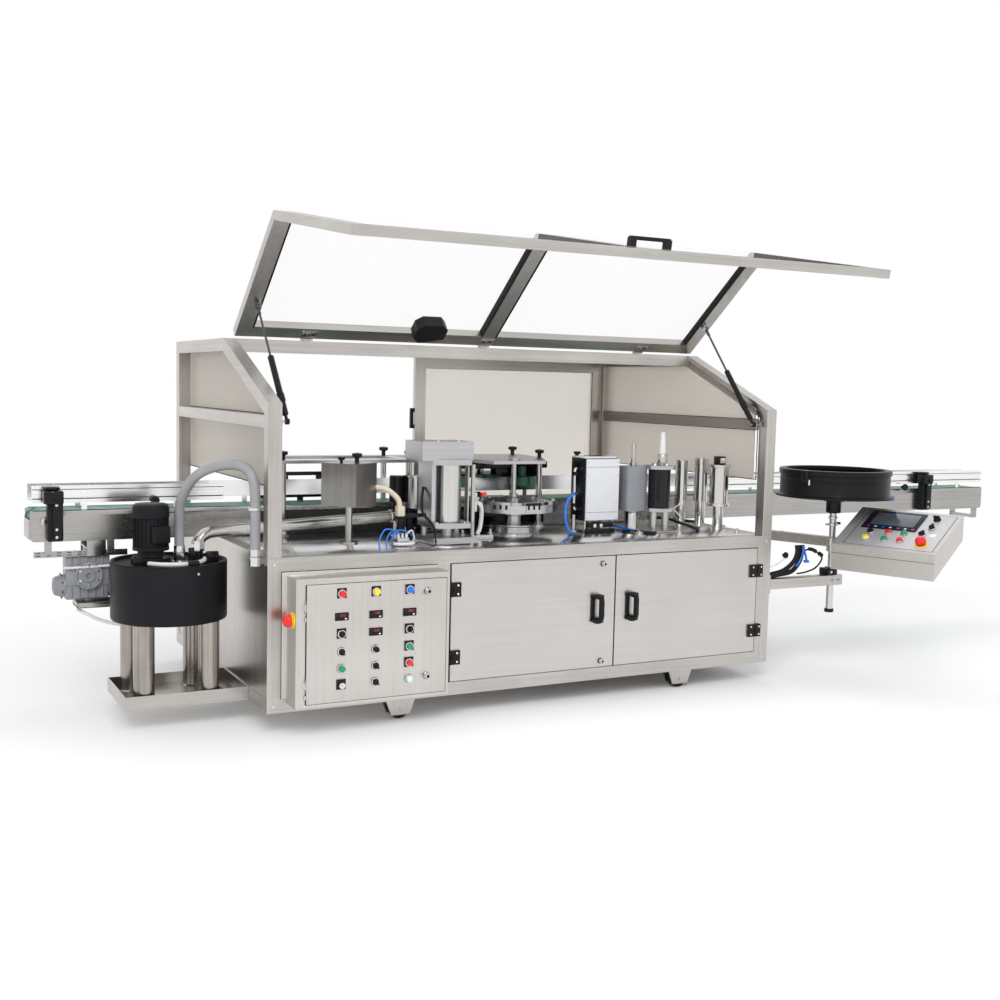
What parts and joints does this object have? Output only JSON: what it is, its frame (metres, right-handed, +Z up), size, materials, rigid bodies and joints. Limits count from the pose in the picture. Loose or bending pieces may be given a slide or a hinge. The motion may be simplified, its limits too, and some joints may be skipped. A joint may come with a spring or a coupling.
{
  "type": "rotary labelling machine",
  "caption": "Guarded labelling machine on castors with a through conveyor, glue tank, label drum, swinging operator screen, label reel and a raised front hood.",
  "frame": {"origin": "on the floor under the middle of the whole machine's bounding box", "axes": "+X along the conveyor to the right as seen from the operator's side, +Y towards the back, +Z up"},
  "size_m": [5.94, 2.4226, 2.2209],
  "materials": {
    "stainless": "brushed stainless steel tube and sheet",
    "aluminium": "anodised aluminium",
    "black_plastic": "black moulded nylon",
    "black_paint": "black satin paint",
    "grey_paint": "grey cast housing, satin paint",
    "rubber": "black rubber",
    "grey_hose": "light grey flexible hose",
    "clear_pane": "clear plastic sheet with a faint warm tint",
    "green_plastic": "green machined plastic",
    "belt": "grey slat belt",
    "red_plastic": "red button plastic"
  },
  "bodies": {
    "machine": {"base_frame": "stainless", "cabinet_liner": "stainless", "control_box": "stainless", "conveyor_bed": "stainless", "conveyor_belt": "belt", "cover_box": "stainless", "cutter_housing": "aluminium", "feed_station": "stainless", "gearmotor": "grey_paint", "glue_hose": "grey_hose", "glue_pipe": "stainless", "glue_station": "stainless", "glue_tank": "black_paint", "guard_left": "stainless", "guard_right": "stainless", "guide_rail_left": "aluminium", "guide_rail_rear": "aluminium", "guide_rail_right": "aluminium", "reel_support": "stainless", "roof_frame": "stainless", "side_panel_left": "stainless", "side_panel_right": "stainless", "star_bridge": "stainless", "table_plate": "stainless", "tank_mixer": "black_paint", "tank_stand": "stainless", "window_left": "clear_pane", "window_right": "clear_pane"},
    "hood": {"hood_frame": "stainless", "hood_window": "clear_pane", "hood_handle": "black_plastic"},
    "strut_cylinder_left": {"strut_cylinder_left": "black_paint"},
    "strut_rod_left": {"strut_rod_left": "black_paint"},
    "strut_cylinder_right": {"strut_cylinder_right": "black_paint"},
    "strut_rod_right": {"strut_rod_right": "black_paint"},
    "door_left": {"door_left": "stainless"},
    "door_right": {"door_right": "stainless"},
    "rear_door": {"rear_door": "stainless", "rear_window": "clear_pane"},
    "control_door": {"control_door": "stainless"},
    "stop_button": {"stop_button": "red_plastic"},
    "start_button": {"start_button": "green_plastic"},
    "speed_knob": {"speed_knob": "black_plastic"},
    "box_estop": {"box_estop": "red_plastic"},
    "screen": {"screen_arm": "stainless", "screen_box": "stainless"},
    "screen_estop": {"screen_estop": "red_plastic"},
    "label_reel": {"label_reel": "black_plastic"},
    "vacuum_drum": {"vacuum_drum": "aluminium"},
    "glue_roller": {"glue_roller": "stainless"},
    "center_star": {"center_star": "green_plastic"},
    "feed_roller": {"feed_roller": "rubber"},
    "drive_roller": {"drive_roller": "stainless"},
    "idler_roller_1": {"idler_roller_1": "stainless"},
    "idler_roller_2": {"idler_roller_2": "stainless"},
    "idler_roller_3": {"idler_roller_3": "stainless"},
    "castor_wheel_1": {"castor_wheel_1": "rubber"},
    "castor_wheel_2": {"castor_wheel_2": "rubber"},
    "castor_wheel_3": {"castor_wheel_3": "rubber"},
    "castor_wheel_4": {"castor_wheel_4": "rubber"}
  },
  "joints": [
    {"name": "hood_hinge", "type": "hinge", "parent": "machine", "child": "hood", "pos_m": [-0.785, 0.28631, 1.706], "axis": [1, 0, 0], "range_deg": [0, 60.5]},
    {"name": "strut_left_foot", "type": "hinge", "parent": "machine", "child": "strut_cylinder_left", "pos_m": [-2.03, -0.35169, 1.336], "axis": [1, 0, 0], "range_deg": [-20, 0]},
    {"name": "strut_left_slide", "type": "slide", "parent": "strut_cylinder_left", "child": "strut_rod_left", "axis": [0, 0.6517, 0.7584], "range_m": [-0.17, 0]},
    {"name": "strut_right_foot", "type": "hinge", "parent": "machine", "child": "strut_cylinder_right", "pos_m": [0.46, -0.35169, 1.336], "axis": [1, 0, 0], "range_deg": [-20, 0]},
    {"name": "strut_right_slide", "type": "slide", "parent": "strut_cylinder_right", "child": "strut_rod_right", "axis": [0, 0.6517, 0.7584], "range_m": [-0.17, 0]},
    {"name": "door_left_hinge", "type": "hinge", "parent": "machine", "child": "door_left", "pos_m": [-1.28, -0.42469, 0.433], "axis": [0, 0, 1], "range_deg": [-110, 0]},
    {"name": "door_right_hinge", "type": "hinge", "parent": "machine", "child": "door_right", "pos_m": [0.471, -0.42469, 0.433], "axis": [0, 0, -1], "range_deg": [-110, 0]},
    {"name": "rear_door_hinge", "type": "hinge", "parent": "machine", "child": "rear_door", "pos_m": [0.499, 1.20531, 1.2165], "axis": [0, 0, 1], "range_deg": [-110, 0]},
    {"name": "control_door_hinge", "type": "hinge", "parent": "machine", "child": "control_door", "pos_m": [-2.005, -0.53639, 0.41], "axis": [0, 0, 1], "range_deg": [-110, 0]},
    {"name": "stop_button_press", "type": "slide", "parent": "control_door", "child": "stop_button", "axis": [0, 1, 0], "range_m": [0, 0.005], "stiffness_N_per_m": 600, "springref_m": -0.002},
    {"name": "start_button_press", "type": "slide", "parent": "control_door", "child": "start_button", "axis": [0, 1, 0], "range_m": [0, 0.005], "stiffness_N_per_m": 600, "springref_m": -0.002},
    {"name": "speed_knob_turn", "type": "hinge", "parent": "control_door", "child": "speed_knob", "pos_m": [-1.69, -0.54429, 0.372], "axis": [0, -1, 0], "range_deg": [-135, 135]},
    {"name": "box_estop_press", "type": "slide", "parent": "machine", "child": "box_estop", "axis": [1, 0, 0], "range_m": [0, 0.006]},
    {"name": "screen_swing", "type": "hinge", "parent": "machine", "child": "screen", "pos_m": [1.005, -0.38169, 0.712], "axis": [0, 0, -1], "range_deg": [-10, 30]},
    {"name": "screen_estop_press", "type": "slide", "parent": "screen", "child": "screen_estop", "axis": [0.4281, 0.1558, -0.8902], "range_m": [0, 0.006]},
    {"name": "label_reel_spin", "type": "hinge", "parent": "machine", "child": "label_reel", "pos_m": [1.005, -0.38169, 0.9303], "axis": [0, 0, 1], "continuous": true},
    {"name": "vacuum_drum_spin", "type": "hinge", "parent": "machine", "child": "vacuum_drum", "pos_m": [-0.68197, 0.11631, 0.8113], "axis": [0, 0, 1], "continuous": true},
    {"name": "glue_roller_spin", "type": "hinge", "parent": "machine", "child": "glue_roller", "pos_m": [-1.14492, -0.08669, 0.8563], "axis": [0, 0, 1], "continuous": true},
    {"name": "center_star_spin", "type": "hinge", "parent": "machine", "child": "center_star", "pos_m": [-0.68197, 0.58331, 0.7663], "axis": [0, 0, 1], "continuous": true},
    {"name": "feed_roller_spin", "type": "hinge", "parent": "machine", "child": "feed_roller", "pos_m": [0.07502, -0.08169, 0.8923], "axis": [0, 0, 1], "continuous": true},
    {"name": "idler_roller_1_spin", "type": "hinge", "parent": "machine", "child": "idler_roller_1", "pos_m": [0.354, 0.10831, 0.7663], "axis": [0, 0, 1], "continuous": true},
    {"name": "idler_roller_2_spin", "type": "hinge", "parent": "machine", "child": "idler_roller_2", "pos_m": [0.45, 0.05831, 0.7663], "axis": [0, 0, 1], "continuous": true},
    {"name": "idler_roller_3_spin", "type": "hinge", "parent": "machine", "child": "idler_roller_3", "pos_m": [0.43, -0.12569, 0.7663], "axis": [0, 0, 1], "continuous": true},
    {"name": "drive_roller_spin", "type": "hinge", "parent": "machine", "child": "drive_roller", "pos_m": [-2.915, 0.43831, 0.862], "axis": [0, 1, 0], "continuous": true},
    {"name": "castor_wheel_1_roll", "type": "hinge", "parent": "machine", "child": "castor_wheel_1", "pos_m": [-1.495, -0.33169, 0.045], "axis": [0, 1, 0], "continuous": true},
    {"name": "castor_wheel_2_roll", "type": "hinge", "parent": "machine", "child": "castor_wheel_2", "pos_m": [-1.495, 1.11731, 0.045], "axis": [0, 1, 0], "continuous": true},
    {"name": "castor_wheel_3_roll", "type": "hinge", "parent": "machine", "child": "castor_wheel_3", "pos_m": [0.045, -0.33169, 0.045], "axis": [0, 1, 0], "continuous": true},
    {"name": "castor_wheel_4_roll", "type": "hinge", "parent": "machine", "child": "castor_wheel_4", "pos_m": [0.045, 1.11731, 0.045], "axis": [0, 1, 0], "continuous": true}
  ],
  "couplings": [
    {"joint": "strut_left_foot", "follows": "hood_hinge", "ratio": -0.30385},
    {"joint": "strut_left_slide", "follows": "hood_hinge", "m_per_rad": -0.15854},
    {"joint": "strut_right_foot", "follows": "hood_hinge", "ratio": -0.30385},
    {"joint": "strut_right_slide", "follows": "hood_hinge", "m_per_rad": -0.15854},
    {"joint": "glue_roller_spin", "follows": "vacuum_drum_spin", "ratio": -3.7},
    {"joint": "center_star_spin", "follows": "vacuum_drum_spin", "ratio": -1},
    {"joint": "feed_roller_spin", "follows": "vacuum_drum_spin", "ratio": -3.8}
  ]
}
